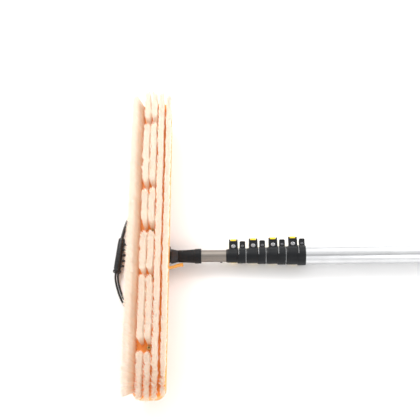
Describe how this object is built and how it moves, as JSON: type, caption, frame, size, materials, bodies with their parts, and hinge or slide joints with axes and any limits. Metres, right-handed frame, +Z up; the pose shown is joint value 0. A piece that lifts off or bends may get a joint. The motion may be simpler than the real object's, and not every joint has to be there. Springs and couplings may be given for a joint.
{
  "type": "window cleaning pole",
  "caption": "Telescopic water-fed pole with lever clamps, lying on the floor, with a long brush across its end on a tilting lock joint, water jets and hoses",
  "frame": {"origin": "on the floor at the middle of the bracket's foot, below the middle of the brush", "axes": "+X along the pole from the brush to the butt, +Y along the brush, +Z up with the bristles"},
  "size_m": [1.5213, 0.6, 0.1083],
  "materials": {
    "bright_aluminium": "satin",
    "warm_aluminium": "satin",
    "black_nylon": "fine grain",
    "grey_nylon": "fine grain",
    "black_rubber": "matte",
    "yellow_plastic": "semi-gloss",
    "amber_plastic": "semi-gloss",
    "orange_plastic": "semi-gloss",
    "cream_bristle": "fibre",
    "zinc_steel": "zinc plated",
    "dark_steel": "blackened",
    "brass": "machined"
  },
  "bodies": {
    "base_section": {"tube_5": "bright_aluminium", "butt_grip": "black_rubber", "butt_cap": "black_rubber", "water_inlet_hose_tail": "black_nylon", "clamp_4_body": "black_nylon", "clamp_4_tension_screw": "zinc_steel", "clamp_4_fixing_screw": "dark_steel", "clamp_4_cam_pin": "zinc_steel"},
    "section_4": {"tube_4": "bright_aluminium", "tube_4_glide_bush": "black_nylon", "clamp_3_body": "black_nylon", "clamp_3_tension_screw": "zinc_steel", "clamp_3_fixing_screw": "dark_steel", "clamp_3_cam_pin": "zinc_steel"},
    "section_3": {"tube_3": "bright_aluminium", "tube_3_glide_bush": "black_nylon", "clamp_2_body": "black_nylon", "clamp_2_tension_screw": "zinc_steel", "clamp_2_fixing_screw": "dark_steel", "clamp_2_cam_pin": "zinc_steel"},
    "section_2": {"tube_2": "bright_aluminium", "tube_2_glide_bush": "black_nylon", "clamp_1_body": "black_nylon", "clamp_1_tension_screw": "zinc_steel", "clamp_1_fixing_screw": "dark_steel", "clamp_1_cam_pin": "zinc_steel"},
    "section_1": {"tube_1": "warm_aluminium", "tube_1_glide_bush": "black_nylon", "adapter_sleeve": "black_nylon", "angle_joint_tongue": "grey_nylon", "tube_1_stop_button": "black_nylon"},
    "clamp_lever_1": {"clamp_1_lever": "yellow_plastic"},
    "clamp_lever_2": {"clamp_2_lever": "yellow_plastic"},
    "clamp_lever_3": {"clamp_3_lever": "yellow_plastic"},
    "clamp_lever_4": {"clamp_4_lever": "yellow_plastic"},
    "brush_head": {"brush_bracket": "black_nylon", "bracket_screw_near": "zinc_steel", "bracket_screw_far": "zinc_steel", "supply_hose_gland": "black_nylon", "tilt_pivot_bolt": "zinc_steel", "tilt_lever_pin": "zinc_steel", "brush_block": "orange_plastic", "bristle_row_outer_left": "cream_bristle", "bristle_row_inner_left": "cream_bristle", "bristle_row_middle": "cream_bristle", "bristle_row_inner_right": "cream_bristle", "bristle_row_outer_right": "cream_bristle", "water_jet_1": "brass", "water_jet_2": "brass", "water_jet_3": "brass", "water_jet_4": "brass", "hose_connector": "black_nylon", "supply_hose": "black_rubber", "jet_hose_1": "black_rubber", "jet_hose_2": "black_rubber", "jet_hose_tail_1": "black_nylon", "jet_hose_tail_2": "black_nylon"},
    "tilt_lock_lever": {"tilt_lever": "amber_plastic"}
  },
  "joints": [
    {"name": "section_4_slide", "type": "slide", "parent": "base_section", "child": "section_4", "axis": [-1, 0, 0], "range_m": [0, 0.85]},
    {"name": "section_3_slide", "type": "slide", "parent": "section_4", "child": "section_3", "axis": [-1, 0, 0], "range_m": [0, 0.85]},
    {"name": "section_2_slide", "type": "slide", "parent": "section_3", "child": "section_2", "axis": [-1, 0, 0], "range_m": [0, 0.85]},
    {"name": "section_1_slide", "type": "slide", "parent": "section_2", "child": "section_1", "axis": [-1, 0, 0], "range_m": [0, 0.85]},
    {"name": "clamp_1_lever_hinge", "type": "hinge", "parent": "section_2", "child": "clamp_lever_1", "pos_m": [0.15225, 0.0308, 0.0196], "axis": [1, 0, 0], "range_deg": [0, 110]},
    {"name": "clamp_2_lever_hinge", "type": "hinge", "parent": "section_3", "child": "clamp_lever_2", "pos_m": [0.19035, 0.03235, 0.0196], "axis": [1, 0, 0], "range_deg": [0, 110]},
    {"name": "clamp_3_lever_hinge", "type": "hinge", "parent": "section_4", "child": "clamp_lever_3", "pos_m": [0.22845, 0.0339, 0.0196], "axis": [1, 0, 0], "range_deg": [0, 110]},
    {"name": "clamp_4_lever_hinge", "type": "hinge", "parent": "base_section", "child": "clamp_lever_4", "pos_m": [0.26655, 0.03545, 0.0196], "axis": [1, 0, 0], "range_deg": [0, 110]},
    {"name": "brush_tilt", "type": "hinge", "parent": "section_1", "child": "brush_head", "pos_m": [0.005, 0, 0.02], "axis": [0, 1, 0], "range_deg": [-60, 0]},
    {"name": "tilt_lock_lever_hinge", "type": "hinge", "parent": "brush_head", "child": "tilt_lock_lever", "pos_m": [0.005, -0.0194, 0.02], "axis": [0, 0, 1], "range_deg": [-85, 0]}
  ]
}
